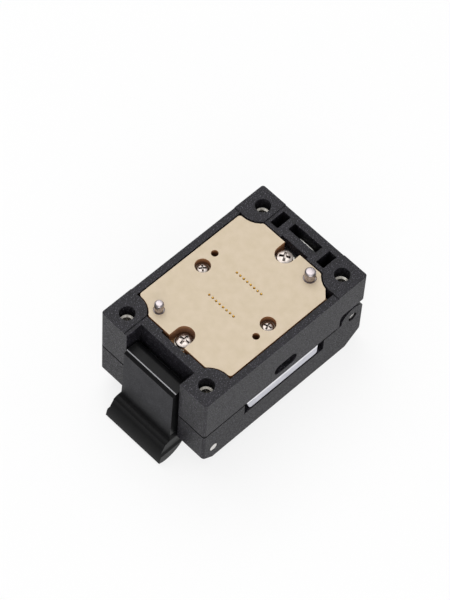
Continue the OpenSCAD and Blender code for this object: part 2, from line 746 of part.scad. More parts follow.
module pressure_plate() {
    near = press_mid - press_len / 2;
    far = press_mid + press_len / 2;
    round_far = 0.8;
    round_near = 1.2;
    shelf = 1; // low shelf along the plate's latch end
    color("#cfcfd6") difference() {
        translate([0, press_half_wid, 0]) rotate([90, 0, 0]) linear_extrude(2 * press_half_wid) polygon(concat(
            [[near, press_top], [far, press_top]],
            arc(far - round_far, press_low + round_far, round_far, 0, -90, 8),
            arc(near + shelf + round_near, press_low + round_near, round_near, -90, -170, 8)));
        corners() translate([press_screw_x + press_mid, press_screw_y, press_low - through])
            cylinder(d = press_thread, h = press_thread_len + 0.4 + through);
        corners() translate([pusher_xy, pusher_xy, press_top - pusher_shank + 0.4])
            cylinder(d = press_thread, h = press_t);
    }
}

module pusher() {
    flange_top = press_top + pusher_t;
    color("#2a2a2c") difference() {
        union() {
            translate([0, 0, press_top]) linear_extrude(pusher_t)
                round_box(nest_len - 2 * pusher_gap, nest_wid - 2 * pusher_gap, 0.8);
            mirror_x() block([row_x - rib_half, 0.5 - nest_wid / 2, press_top],
                [row_x + rib_half, nest_wid / 2 - 0.5, rib_z]);
        }
        corners() translate([pusher_xy, pusher_xy, press_top - through]) cylinder(d = press_thread, h = base_ht);
        corners() translate([pusher_xy, pusher_xy, flange_top]) cylinder(d = pusher_head_d + 0.1, h = base_ht);
    }
}

module pusher_screws() {
    color("#cfcdc6") corners() translate([pusher_xy, pusher_xy, press_top + pusher_t])
        screw(pusher_head_d, pusher_head_ht, press_thread, pusher_shank, 1.2);
}

module pressure_screws() {
    reach = press_low - press_seat;
    color("#cfcdc6") corners() translate([press_screw_x + press_mid, press_screw_y, press_seat]) mirror([0, 0, 1]) {
        screw(press_head_d, press_head_ht, press_screw_d, reach, 2.4);
        translate([0, 0, -reach - press_thread_len]) cylinder(d = press_thread, h = press_thread_len + cut);
    }
}

module pressure_springs() {
    color("#b9b7b0") corners() translate([press_spring_x + press_mid, press_spring_y, 0])
        push_spring(press_spring_d, press_spring_wire, recess_floor - press_pocket, press_low, 5);
}

base_frame();
thread_inserts();
board_dowels();
retainer_plate();
retainer_screws();
probe_block();
end_screws();
end_washers();
probe_barrels();
probe_springs();
board_plungers();
package_plungers();
guide_plate();
guide_screws();
guide_springs();
lid_frame();
hinge_pin();
hinge_spring();
latch();
latch_pin();
latch_spring();
pressure_plate();
pusher();
pusher_screws();
pressure_screws();
pressure_springs();
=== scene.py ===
import json
from math import cos, pi, radians, sin

import bmesh
import bpy
import numpy as np
from mathutils import Matrix, Vector


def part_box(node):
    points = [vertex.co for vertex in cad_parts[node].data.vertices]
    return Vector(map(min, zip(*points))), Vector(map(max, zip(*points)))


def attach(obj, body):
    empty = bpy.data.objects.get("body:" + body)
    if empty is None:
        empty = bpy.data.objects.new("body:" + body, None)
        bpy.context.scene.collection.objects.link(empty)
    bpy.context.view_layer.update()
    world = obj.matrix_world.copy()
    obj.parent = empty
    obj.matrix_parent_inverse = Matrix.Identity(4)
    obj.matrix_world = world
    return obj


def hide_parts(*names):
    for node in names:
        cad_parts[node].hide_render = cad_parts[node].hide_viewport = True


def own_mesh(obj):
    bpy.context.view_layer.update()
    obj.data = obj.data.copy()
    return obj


# a clamshell test socket for a small-outline package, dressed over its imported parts
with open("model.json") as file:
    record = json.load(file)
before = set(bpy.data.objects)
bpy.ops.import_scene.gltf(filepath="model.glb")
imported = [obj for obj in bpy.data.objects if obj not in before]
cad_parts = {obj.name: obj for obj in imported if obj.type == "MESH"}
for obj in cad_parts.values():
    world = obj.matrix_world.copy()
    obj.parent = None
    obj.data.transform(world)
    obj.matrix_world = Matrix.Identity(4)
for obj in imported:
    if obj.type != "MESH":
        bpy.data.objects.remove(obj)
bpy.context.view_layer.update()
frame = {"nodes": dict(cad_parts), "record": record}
mm = 0.001
print("frame loaded:", len(frame["nodes"]), "nodes")


def hexToLinear(text):
    # an sRGB hex colour as linear light
    srgb = np.array([int(text[i:i + 2], 16) for i in (1, 3, 5)]) / 255
    light = np.where(srgb <= 0.04045, srgb / 12.92, ((srgb + 0.055) / 1.055) ** 2.4)
    return (*light.tolist(), 1.0)


def addNode(tree, kind, inputs=(), out=None, stops=(), **settings):
    # one node with its settings and, for a ramp, its (place, colour) stops. Its sockets are filled
    # or linked, by name or in their order, which for Map Range is value, from low, from high,
    # to low, to high. It gives back the node, or the output that out names.
    node = tree.nodes.new(kind)
    for name, value in settings.items():
        setattr(node, name, value)
    for i, (place, colour) in enumerate(stops):
        elements = node.color_ramp.elements
        element = elements[i] if i < len(elements) else elements.new(place)
        element.position = place
        element.color = hexToLinear(colour)
    for socket, value in (inputs.items() if isinstance(inputs, dict) else enumerate(inputs)):
        if isinstance(value, bpy.types.NodeSocket):
            tree.links.new(value, node.inputs[socket])
        else:
            node.inputs[socket].default_value = value
    return node if out is None else node.outputs[out]


def perSize(millimetres):
    # texture scale at which one feature is this long
    return 1000 / millimetres


def startMaterial(name, patterns):
    # an empty node material, its Object coordinates, and its noise patterns: each is given as the
    # length of its blobs in millimetres, its detail and its roughness
    material = bpy.data.materials.new(name)
    material.use_nodes = True
    tree = material.node_tree
    tree.nodes.clear()
    coords = addNode(tree, "ShaderNodeTexCoord", out="Object")
    noises = [addNode(tree, "ShaderNodeTexNoise", {
        "Vector": coords, "Scale": perSize(size), "Detail": detail, "Roughness": rough}, "Fac")
        for size, detail, rough in patterns.values()]
    return material, tree, coords, *noises


def finishMaterial(material, bump, sockets):
    # a Principled surface with these sockets and a bump of (height, millimetres deep, strength)
    tree = material.node_tree
    height, deep, strength = bump
    normal = addNode(tree, "ShaderNodeBump", {
        "Height": height, "Distance": deep * mm, "Strength": strength}, "Normal")
    surface = addNode(tree, "ShaderNodeBsdfPrincipled", {**sockets, "Normal": normal}, "BSDF")
    addNode(tree, "ShaderNodeOutputMaterial", {"Surface": surface})
    return material


noiseMiddle = (0.35, 0.65)  # most values of a noise lie between these
cloudStops = (0.3, 0.7)  # where a cloud is wholly one of its two tones


def edgeMask(tree, width):
    # near 1 on a sharp edge: the share by which a rounded normal leans off the true one
    straight, sharp = 0.99, 0.75
    rounded = addNode(tree, "ShaderNodeBevel", {"Radius": width * mm}, "Normal", samples=6)
    plain = addNode(tree, "ShaderNodeNewGeometry", out="Normal")
    lean = addNode(tree, "ShaderNodeVectorMath", [rounded, plain], "Value",
                   operation="DOT_PRODUCT")
    return addNode(tree, "ShaderNodeMapRange", [lean, straight, sharp, 0.0, 1.0], "Result")


def recessShadeMask(tree, reach, deep, clear):
    # 1 deep in holes and corners, 0 on open faces: where painted shade darkens the colour
    openness = addNode(tree, "ShaderNodeAmbientOcclusion", {"Distance": reach * mm}, "AO",
                       samples=8, only_local=True)
    return addNode(tree, "ShaderNodeMapRange", [openness, deep, clear, 1.0, 0.0], "Result")


def facing(tree, axis):
    # how far the surface looks along one axis of its piece, which stays while the piece moves
    normal = addNode(tree, "ShaderNodeTexCoord", out="Normal")
    return addNode(tree, "ShaderNodeSeparateXYZ", [normal], axis)


# In the finishes below, lengths and heights are millimetres. A pattern is its blobs' length, detail
# and roughness, a recess is its reach and the openness at which it is full and gone, and the other
# fours are the values that Map Range goes from and to.


def glassFilledBlack(name, dark, light, sheen):
    # glass-filled PPS, injection moulded: black, a broad dull sheen, pale fibre ends and pits all
    # over, both drawn about twice as coarse as they are so that they show, edges lighter by wear
    # and painted highlight, painted shade in its corners and a band of painted shade on the parting
    # line
    finish = dict(
        patterns=dict(cloud=(1.6, 3, 0.5), fibres=(0.3, 1, 0.5), pits=(0.45, 3, 0.7)),
        fibreEnds=(0.58, 0.71, 0.0, 0.9), fibreTone="#6c6a73",
        pitted=(0.5, 0.38, 0.0, 1.0), pitTone="#0c0c0d", pitDeep=0.08, pitStrength=0.9,
        # the edges' lighter tone is wear and painted highlight at once
        edge=0.2, patchy=(*noiseMiddle, 0.0, 0.3), edgeWearAndHighlightTone="#4c4c50",
        # near black deep in its corners: painted shade
        corners=(3.5, 0.2, 0.8), cornerShadeTone="#040405",
        # a near-black band of painted shade along the parting line, on upright faces before the
        # ears
        seam=-15.6, seamHalf=0.3, ears=19.0, earsFade=0.2, upright=(0.85, 0.95, 1.0, 0.0),
        paintedShadeTone="#010101", paintedShadeDull=0.5, rough=(*noiseMiddle, 0.38, 0.6), ior=1.5)
    material, tree, coords, cloud, fibres, pits = startMaterial(name, finish["patterns"])
    colour = addNode(tree, "ShaderNodeValToRGB", [cloud], "Color", zip(cloudStops, (dark, light)))
    fibreEnds = addNode(tree, "ShaderNodeMapRange", [fibres, *finish["fibreEnds"]], "Result")
    pitted = addNode(tree, "ShaderNodeMapRange", [pits, *finish["pitted"]], "Result")
    patchy = addNode(tree, "ShaderNodeMapRange", [cloud, *finish["patchy"]], "Result")
    # edges lighter in patches, partly wear and partly painted highlight
    edgeWearAndHighlight = addNode(tree, "ShaderNodeMath", [edgeMask(tree, finish["edge"]), patchy], 0,
                   operation="MULTIPLY")
    # painted shade deep in the corners
    corners = recessShadeMask(tree, *finish["corners"])
    place = addNode(tree, "ShaderNodeSeparateXYZ", [coords])
    # painted shade: a near-black band about the parting line's height
    paintedShade = addNode(tree, "ShaderNodeMath", [
        place.outputs["Z"], finish["seam"] * mm, finish["seamHalf"] * mm], 0,
        operation="COMPARE")
    beforeEars = addNode(tree, "ShaderNodeMapRange", [
        place.outputs["X"], finish["ears"] * mm, (finish["ears"] + finish["earsFade"]) * mm,
        1.0, 0.0], "Result")
    level = addNode(tree, "ShaderNodeMath", [facing(tree, "Z")], 0, operation="ABSOLUTE")
    upright = addNode(tree, "ShaderNodeMapRange", [level, *finish["upright"]], "Result")
    for mask in (beforeEars, upright):
        paintedShade = addNode(tree, "ShaderNodeMath", [paintedShade, mask], 0, operation="MULTIPLY")
    for mask, tone in ((fibreEnds, "fibreTone"), (pitted, "pitTone"), (edgeWearAndHighlight, "edgeWearAndHighlightTone"),
                       (corners, "cornerShadeTone"), (paintedShade, "paintedShadeTone")):
        colour = addNode(tree, "ShaderNodeMix", {
            0: mask, 6: colour, 7: hexToLinear(finish[tone])}, 2, data_type="RGBA")
    rough = addNode(tree, "ShaderNodeMapRange", [pits, *finish["rough"]], "Result")
    rough = addNode(tree, "ShaderNodeMath", [paintedShade, finish["paintedShadeDull"], rough], 0,
                    operation="MULTIPLY_ADD")
    return finishMaterial(material, (pits, finish["pitDeep"], finish["pitStrength"]), {
        "Base Color": colour, "Roughness": rough, "IOR": finish["ior"],
        "Specular IOR Level": sheen})


def satinBlack():
    # unfilled black PBT: a fine eroded texture on the upright face of the blade, fading out towards
    # the bottom, polished everywhere else, edges lighter by wear and painted highlight, more so
    # higher up, and a painted highlight along the blade's top outer edge
    finish = dict(
        patterns=dict(cloud=(3.0, 3, 0.5), grain=(0.34, 2, 0.5)),
        polished=("#0f0f10", "#141415"), eroded=("#313134", "#3b3b3e"),
        speckled=(0.5, 0.7, 0.0, 0.5), speckTone="#56565b", grainDeep=0.014, grainStrength=0.6,
        upright=(-0.99, -0.9, 1.0, 0.0), polishedBelow=-25.2, erodedAbove=-18.0,
        # edges lighter by wear and painted highlight, more so higher up
        edge=0.2, edgeWearAndHighlightLeast=(-24.0, 0.1), edgeWearAndHighlightMost=(-9.0, 0.5), edgeWearAndHighlightTone="#5c5c60",
        # a painted highlight along the blade's top outer edge
        rim=(-29.46, -5.44), rimBright=0.1, rimFade=0.18, rimHighlightTone="#a9a9ac",
        rough=(0.0, 1.0, 0.34, 0.58), ior=1.45, sheen=0.14)
    material, tree, coords, cloud, grain = startMaterial("satin_black", finish["patterns"])
    polished, eroded = (addNode(tree, "ShaderNodeValToRGB", [cloud], "Color",
                                zip(cloudStops, finish[key])) for key in ("polished", "eroded"))
    speckled = addNode(tree, "ShaderNodeMapRange", [grain, *finish["speckled"]], "Result")
    eroded = addNode(tree, "ShaderNodeMix", {
        0: speckled, 6: eroded, 7: hexToLinear(finish["speckTone"])}, 2, data_type="RGBA")
    height = addNode(tree, "ShaderNodeSeparateXYZ", [coords], "Z")
    upright = addNode(tree, "ShaderNodeMapRange", [facing(tree, "X"), *finish["upright"]],
                      "Result")
    above = addNode(tree, "ShaderNodeMapRange", [
        height, finish["polishedBelow"] * mm, finish["erodedAbove"] * mm, 0.0, 1.0], "Result")
    face = addNode(tree, "ShaderNodeMath", [upright, above], 0, operation="MULTIPLY")
    # edges lighter by wear and painted highlight, more so higher up
    (lowest, least), (highest, most) = finish["edgeWearAndHighlightLeast"], finish["edgeWearAndHighlightMost"]
    edgeWearAndHighlightByHeight = addNode(tree, "ShaderNodeMapRange", [height, lowest * mm, highest * mm, least, most],
                      "Result")
    edgeWearAndHighlight = addNode(tree, "ShaderNodeMath", [edgeMask(tree, finish["edge"]), edgeWearAndHighlightByHeight], 0,
                   operation="MULTIPLY")
    # painted highlight: near white along the blade's top outer edge, fading off it
    section = addNode(tree, "ShaderNodeVectorMath", [coords, (1, 0, 1)], "Vector",
                      operation="MULTIPLY")
    rimX, rimZ = finish["rim"]
    fromRim = addNode(tree, "ShaderNodeVectorMath", [section, (rimX * mm, 0, rimZ * mm)],
                      "Value", operation="DISTANCE")
    rimHighlight = addNode(tree, "ShaderNodeMapRange", [
        fromRim, finish["rimBright"] * mm, finish["rimFade"] * mm, 1.0, 0.0], "Result")
    colour = polished
    for mask, over in ((face, eroded), (edgeWearAndHighlight, hexToLinear(finish["edgeWearAndHighlightTone"])),
                       (rimHighlight, hexToLinear(finish["rimHighlightTone"]))):
        colour = addNode(tree, "ShaderNodeMix", {0: mask, 6: colour, 7: over}, 2,
                         data_type="RGBA")
    rough = addNode(tree, "ShaderNodeMapRange", [face, *finish["rough"]], "Result")
    return finishMaterial(material, (grain, finish["grainDeep"], finish["grainStrength"]), {
        "Base Color": colour, "Roughness": rough, "IOR": finish["ior"],
        "Specular IOR Level": finish["sheen"]})


def beigePlastic(name, light, dark):
    # machined engineering plastic: even beige, faint milling arcs, waxy; its cut walls carry a
    # painted shade that goes from tan at the face to dark brown below, and its recesses a dark
    # painted shade
    finish = dict(
        patterns=dict(cloud=(2.5, 4, 0.5), grain=(0.3, 2, 0.5)), speckled=(0.55, 0.75, 0.0, 0.3),
        # the wall ramp is painted shade on the cut walls, tan just below the face and brown deeper
        wallTop=-0.3, wallBottom=-3.3, wall=((0.0, "#94501f"), (0.1, "#b07c50"), (0.45, "#84583c")),
        upright=(0.75, 0.995, 1.0, 0.0), recess=(2.2, 0.1, 0.7), deeper=(0.1, 0.6, 0.3, 1.0),
        # a dark brown painted shade deep in recesses
        recessShadeTone="#4a2a16", arcStep=1.7813, arcUnit=20,  # a wave turns 20 radians a unit
        arcBend=1.5, arcDeep=0.004, arcStrength=0.6, rough=0.48, ior=1.58)
    material, tree, coords, cloud, grain = startMaterial(name, finish["patterns"])
    colour = addNode(tree, "ShaderNodeValToRGB", [cloud], "Color", zip(cloudStops, (dark, light)))
    speckled = addNode(tree, "ShaderNodeMapRange", [grain, *finish["speckled"]], "Result")
    height = addNode(tree, "ShaderNodeSeparateXYZ", [coords], "Z")
    depth = addNode(tree, "ShaderNodeMapRange", [
        height, finish["wallTop"] * mm, finish["wallBottom"] * mm, 0.0, 1.0], "Result")
    # painted shade on the cut walls, by depth below the face
    wall = addNode(tree, "ShaderNodeValToRGB", [depth], "Color", finish["wall"])
    level = addNode(tree, "ShaderNodeMath", [facing(tree, "Z")], 0, operation="ABSOLUTE")
    upright = addNode(tree, "ShaderNodeMapRange", [level, *finish["upright"]], "Result")
    deeper = addNode(tree, "ShaderNodeMapRange", [depth, *finish["deeper"]], "Result")
    # painted shade deep in recesses, more of it further below the face
    shaded = addNode(tree, "ShaderNodeMath", [recessShadeMask(tree, *finish["recess"]), deeper], 0,
                     operation="MULTIPLY")
    for mask, over in ((speckled, hexToLinear(dark)), (upright, wall),
                       (shaded, hexToLinear(finish["recessShadeTone"]))):
        colour = addNode(tree, "ShaderNodeMix", {0: mask, 6: colour, 7: over}, 2,
                         data_type="RGBA")
    arcs = addNode(tree, "ShaderNodeTexWave", {
        "Vector": coords, "Scale": perSize(finish["arcStep"]) * 2 * pi / finish["arcUnit"],
        "Distortion": finish["arcBend"], "Detail": 1.0, "Detail Scale": 0.2}, "Fac",
        wave_type="RINGS", rings_direction="Z")
    return finishMaterial(material, (arcs, finish["arcDeep"], finish["arcStrength"]), {
        "Base Color": colour, "Roughness": finish["rough"], "IOR": finish["ior"]})


def brightMetal(name, light, dark, rough=0.22, scratch=0.25, shadeReach=0.7):
    # plated or ground metal: bright, with fine scratches, and painted shade darkening its corners
    finish = dict(
        patterns=dict(cloud=(0.8, 3, 0.5), scratches=(scratch, 3, 0.7)), scratchDeep=0.01,
        scratchStrength=0.5, paintedShade=(shadeReach, 0.3, 0.8), paintedShadeTone="#1c1814",
        rough=(*noiseMiddle, rough - 0.07, rough + 0.1))
    material, tree, _, cloud, scratches = startMaterial(name, finish["patterns"])
    colour = addNode(tree, "ShaderNodeValToRGB", [cloud], "Color", zip(cloudStops, (dark, light)))
    # painted shade darkening the corners
    paintedShade = recessShadeMask(tree, *finish["paintedShade"])
    colour = addNode(tree, "ShaderNodeMix", {
        0: paintedShade, 6: colour, 7: hexToLinear(finish["paintedShadeTone"])}, 2, data_type="RGBA")
    patchy = addNode(tree, "ShaderNodeMapRange", [cloud, *finish["rough"]], "Result")
    return finishMaterial(material, (scratches, finish["scratchDeep"], finish["scratchStrength"]), {
        "Base Color": colour, "Roughness": patchy, "Metallic": 1.0})


def milledAluminium():
    # bare aluminium, fly cut: pale, lengthwise tool marks, a painted highlight on a strip along the
    # top and a line of painted shade at the step below it
    finish = dict(
        patterns=dict(cloud=(3.0, 3, 0.5)), tones=("#cbcbd3", "#d8d8e0"),
        markLong=0.18, markDetail=3, markRough=0.6, markStretch=0.06, markDeep=0.01,
        # the strip's near white is a painted highlight and the step's grey line is painted shade
        markStrength=0.6, stripBottom=-16.73, stripTop=-16.68, stripHighlightTone="#f4f4f8",
        step=-16.79, stepHalf=0.07, stepCover=0.6, stepShadeTone="#6c6c72",
        rough=(*noiseMiddle, 0.36, 0.52), metallic=0.85)
    material, tree, coords, cloud = startMaterial("milled_aluminium", finish["patterns"])
    stretched = addNode(tree, "ShaderNodeMapping", {
        "Vector": coords, "Scale": (finish["markStretch"], 1.0, 1.0)}, "Vector")
    marks = addNode(tree, "ShaderNodeTexNoise", {
        "Vector": stretched, "Scale": perSize(finish["markLong"]), "Detail": finish["markDetail"],
        "Roughness": finish["markRough"]}, "Fac")
    colour = addNode(tree, "ShaderNodeValToRGB", [cloud], "Color",
                     zip(cloudStops, finish["tones"]))
    height = addNode(tree, "ShaderNodeSeparateXYZ", [coords], "Z")
    # painted highlight on the strip along the top
    stripHighlight = addNode(tree, "ShaderNodeMapRange", [
        height, finish["stripBottom"] * mm, finish["stripTop"] * mm, 0.0, 1.0], "Result")
    # a line of painted shade at the step
    stepShade = addNode(tree, "ShaderNodeMath", [
        height, finish["step"] * mm, finish["stepHalf"] * mm], 0, operation="COMPARE")
    stepShade = addNode(tree, "ShaderNodeMath", [stepShade, finish["stepCover"]], 0,
                     operation="MULTIPLY")
    for mask, tone in ((stripHighlight, "stripHighlightTone"), (stepShade, "stepShadeTone")):
        colour = addNode(tree, "ShaderNodeMix", {
            0: mask, 6: colour, 7: hexToLinear(finish[tone])}, 2, data_type="RGBA")
    rough = addNode(tree, "ShaderNodeMapRange", [marks, *finish["rough"]], "Result")
    return finishMaterial(material, (marks, finish["markDeep"], finish["markStrength"]), {
        "Base Color": colour, "Roughness": rough, "Metallic": finish["metallic"]})


materials = {
    "base_moulding": glassFilledBlack("glass_filled_black", "#18171c", "#242229", sheen=0.27),
    # the lid is the same moulding as the base, with darker tones that are painted shade and a lower
    # sheen
    "lid_moulding": glassFilledBlack("glass_filled_black_lid_painted_shade", "#141318", "#1e1c23", sheen=0.21),
    "latch_moulding": satinBlack(),
    "retainer_plastic": beigePlastic("machined_beige", "#d8c6ac", "#d0bea1"),
    "block_plastic": beigePlastic("machined_tan", "#b98f5f", "#a67a4a"),
    "guide_plastic": beigePlastic("machined_cream", "#d8c7a8", "#cdb995"),
    "screw_nickel": brightMetal("nickel_plated_steel", "#c6bdb7", "#968c86"),
    "washer_nickel": brightMetal("rolled_washer_steel", "#d8d5cd", "#bdb9b0", rough=0.28),
    "insert_metal": brightMetal("nickel_plated_insert", "#d8d4cc", "#77736b", rough=0.26,
                                shadeReach=0.25),
    "dowel_steel": brightMetal("ground_dowel_steel", "#c4bcbf", "#9f9798", rough=0.3),
    "pin_steel": brightMetal("ground_pin_steel", "#f0eeeb", "#d2cfcb", rough=0.36, shadeReach=0.2),
    "spring_steel": brightMetal("drawn_spring_wire", "#c9c8c4", "#a8a6a1", rough=0.3),
    "probe_gold": brightMetal("gold_plated_copper", "#f0c35a", "#d9a53c", rough=0.25, scratch=0.1),
    "plate_aluminium": milledAluminium(),
}
materials["pusher_plastic"] = materials["latch_moulding"]
nodeSlot = {part["node"]: part["material_slot"] for part in frame["record"]["subparts"]}
nodeBody = {node: body for body, nodes in frame["record"]["behaviour"]["bodies"].items()
            for node in nodes}
for node, part in frame["nodes"].items():
    part.data.materials.clear()
    part.data.materials.append(materials[nodeSlot[node]])
print("materials made:", len(materials))


def finishPiece(name, node, mesh, smoothAngle=35, body=None):
    # the mesh becomes a piece on its node's body, or another, in its node's material, and stands
    # for it
    mesh.materials.clear()
    mesh.materials.append(materials[nodeSlot[node]])
    piece = bpy.data.objects.new(name, mesh)
    bpy.context.scene.collection.objects.link(piece)
    mesh.polygons.foreach_set("use_smooth", np.ones(len(mesh.polygons), bool))
    mesh.set_sharp_from_angle(angle=radians(smoothAngle))
    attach(piece, body or nodeBody[node])
    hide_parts(node)
    return piece


def roundedCopy(node, name, width):
    # the node's own shape with its triangles joined into faces and every edge rounded
    edges = dict(weld=0.002, flatWithin=0.6, segments=2, sharperThan=28)
    shape = bmesh.new()
    shape.from_mesh(frame["nodes"][node].data)
    bmesh.ops.remove_doubles(shape, verts=shape.verts, dist=edges["weld"] * mm)
    bmesh.ops.dissolve_limit(shape, angle_limit=radians(edges["flatWithin"]), verts=shape.verts,
                             edges=shape.edges)
    mesh = bpy.data.meshes.new(name)
    shape.to_mesh(mesh)
    shape.free()
    piece = finishPiece(name, node, mesh)
    bevel = piece.modifiers.new("roundedEdges", "BEVEL")
    bevel.width = width * mm
    bevel.segments = edges["segments"]
    bevel.limit_method = "ANGLE"
    bevel.angle_limit = radians(edges["sharperThan"])
    bevel.use_clamp_overlap = True
    evened = piece.modifiers.new("evenedNormals", "WEIGHTED_NORMAL")
    evened.keep_sharp = True
    return piece


def gridFaces(rows, columns):
    # quads between neighbours of a grid of points, closed across the columns
    i = np.arange(rows - 1)[:, None]
    k = np.arange(columns)[None, :]
    nextK = (k + 1) % columns
    return np.stack([i * columns + k, i * columns + nextK,
                     (i + 1) * columns + nextK, (i + 1) * columns + k], -1).reshape(-1, 4)


def meshFromGrids(name, grids):
    # joins closed grids of points into one mesh, merges their poles and recalculates which way the
    # faces point, which is outwards but for the screws without a tail, as crossHead says
    weld = 0.0005
    points, faces, count = [], [], 0
    for grid in grids:
        rows, columns = grid.shape[:2]
        points.append(grid.reshape(-1, 3))
        faces.append(gridFaces(rows, columns) + count)
        count += rows * columns
    points, faces = np.concatenate(points), np.concatenate(faces)
    mesh = bpy.data.meshes.new(name)
    mesh.from_pydata(points.tolist(), [], faces.tolist())
    shape = bmesh.new()
    shape.from_mesh(mesh)
    bmesh.ops.remove_doubles(shape, verts=shape.verts, dist=weld * mm)
    bmesh.ops.recalc_face_normals(shape, faces=shape.faces)
    shape.to_mesh(mesh)
    shape.free()
    return mesh


def turned(profile, sides=48):
    # a profile of (radius, height) millimetres revolved about Z: (r cos a, r sin a, h)
    profile = np.array(profile, float)
    a = np.linspace(0, 2 * pi, sides, endpoint=False)
    r, h = profile[:, :1], profile[:, 1:]
    return np.stack([r * np.cos(a), r * np.sin(a), h + 0 * a], -1) * mm


def turnedAlongY(profile, x, z, sides=64):
    # a profile of (radius, distance along Y) revolved about a line parallel to Y
    grid = turned(profile, sides)
    return np.stack([grid[..., 0] + x * mm, grid[..., 2], grid[..., 1] + z * mm], -1)


def drawnWire(path, radius, sides):
    # a round wire on a path: p + r (n cos a + b sin a), n being a fixed skew line made square to
    # the path and b square to both
    path = np.array(path, float)
    along = np.gradient(path, axis=0)
    along /= np.linalg.norm(along, axis=1, keepdims=True)
    skew = np.array([0.42, 0.84, 0.34])
    n = skew - along * (along @ skew)[:, None]
    n /= np.linalg.norm(n, axis=1, keepdims=True)
    b = np.cross(along, n)
    a = np.linspace(0, 2 * pi, sides, endpoint=False)[None, :, None]
    rings = path[:, None] + radius * (n[:, None] * np.cos(a) + b[:, None] * np.sin(a))
    start = np.repeat(path[:1, None], sides, 1)
    end = np.repeat(path[-1:, None], sides, 1)
    return np.concatenate([start, rings, end]) * mm


def turnGrid(grid, degrees):
    # the grid turned about Z: (x cos a - y sin a, x sin a + y cos a, z)
    a = radians(degrees)
    x, y = grid[..., 0], grid[..., 1]
    return np.stack([x * cos(a) - y * sin(a), x * sin(a) + y * cos(a), grid[..., 2]], -1)


def placed(grid, x, y, z=0, flip=False):
    # the grid moved to a place in millimetres, head down where flip is set
    moved = grid * (1, 1, -1) if flip else grid
    return moved + np.array([x, y, z]) * mm


def boxMm(node):
    # the node's low and high corners in millimetres
    low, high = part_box(node)
    return np.array(low) / mm, np.array(high) / mm


def cornerSpots(node, across):
    # centres of round pieces of one diameter that stand at the corners of the node's box
    low, high = boxMm(node)
    r = across / 2
    xs, ys = ({round(low[i] + r, 3), round(high[i] - r, 3)} for i in (0, 1))
    return [(x, y) for x in sorted(xs) for y in sorted(ys)]


def crossHead(head, high, shank, long, drive, tail=None):
    # pan head, shank and thinner tail as one profile; the crown sinks by a cross-shaped recess that
    # tapers inwards: depth = deepest * step(1 - arm distance) * (1 - taper * r / reach)
    # Known fault: without a tail, the ring after the tip's chamfer folds back down to the tip, and
    # the recalculation then turns the whole screw's faces inwards.
    # the head's and tip's edges, the recess as shares of the drive and head, and the grid's rings
    form = dict(domed=0.35, rim=0.08, shoulder=0.22, bend=0.05, tip=0.15, step=0.02,
                armWide=0.11, wellWide=0.2, crisp=5, taper=0.45, deepest=0.62,
                cutReach=1.1, cutRings=30, flatReach=0.93, flatRings=8, sides=96)
    r0, reach = head / 2, drive / 2
    cutEdge = reach * form["cutReach"]
    ring = np.concatenate([
        np.linspace(0, cutEdge, form["cutRings"]),
        np.linspace(cutEdge, r0 * form["flatReach"], form["flatRings"])[1:]])[::-1]
    top = high - form["domed"] * (ring / r0) ** 3
    tailR, tailLong = (tail[0] / 2, tail[1]) if tail else (shank / 2, 0)
    end, rim, tip = -long - tailLong, form["rim"], form["tip"]
    shoulder = high - form["domed"]
    under = [(0, end), (tailR - tip, end), (tailR, end + tip), (tailR, -long),
             (shank / 2, -long + form["step"]), (shank / 2, 0), (r0 - rim, 0), (r0, rim),
             (r0, shoulder - form["shoulder"]), (r0 - form["bend"], shoulder - rim)]
    profile = np.concatenate([under, np.stack([ring, top], -1)])
    grid = turned(profile, form["sides"])
    x, y = grid[..., 0] / mm, grid[..., 1] / mm
    width = drive * form["armWide"]
    arm = np.minimum(np.maximum(abs(x) / reach, abs(y) / width),
                     np.maximum(abs(y) / reach, abs(x) / width))
    well = np.hypot(x, y) / (drive * form["wellWide"])
    inside = np.clip((1 - np.minimum(arm, well)) * form["crisp"], 0, 1)
    fall = np.clip(1 - form["taper"] * np.hypot(x, y) / reach, 0, 1)
    onCrown = np.arange(len(profile))[:, None] >= len(under)
    grid[..., 2] -= onCrown * inside * fall * high * form["deepest"] * mm
    return grid


screwTurns = (18, 52, 7, 33, 64, 25, 41, 80)  # how far each recess happens to be turned


def makeScrews():
    # each screw fills its node's height, from the top of its head to the end of its tail
    screws = {
        "retainerScrews": dict(head=3.3, high=1.2, shank=1.7, drive=2.1),
        "guideScrews": dict(head=3.6, high=1.3, shank=2.0, tail=(1.6, 3.5), drive=2.1),
        "pusherScrews": dict(head=2.5, high=0.8, shank=1.6, drive=1.5),
        "pressureScrews": dict(head=4.2, high=1.8, shank=2.2, tail=(1.6, 3.0), drive=2.7),
    }
    for node, name, lookDown in (("retainer_screws", "retainerScrews", False),
                                 ("guide_screws", "guideScrews", True),
                                 ("pusher_screws", "pusherScrews", False),
                                 ("pressure_screws", "pressureScrews", True)):
        screw = screws[name]
        low, high = boxMm(node)
        long = high[2] - low[2] - screw["high"] - screw.get("tail", (0, 0))[1]
        seat = low[2] + screw["high"] if lookDown else high[2] - screw["high"]
        grid = crossHead(long=long, **screw)
        grids = [placed(turnGrid(grid, screwTurns[i]), x, y, seat, lookDown)
                 for i, (x, y) in enumerate(cornerSpots(node, screw["head"]))]
        finishPiece(name, node, meshFromGrids(name, grids), smoothAngle=28)


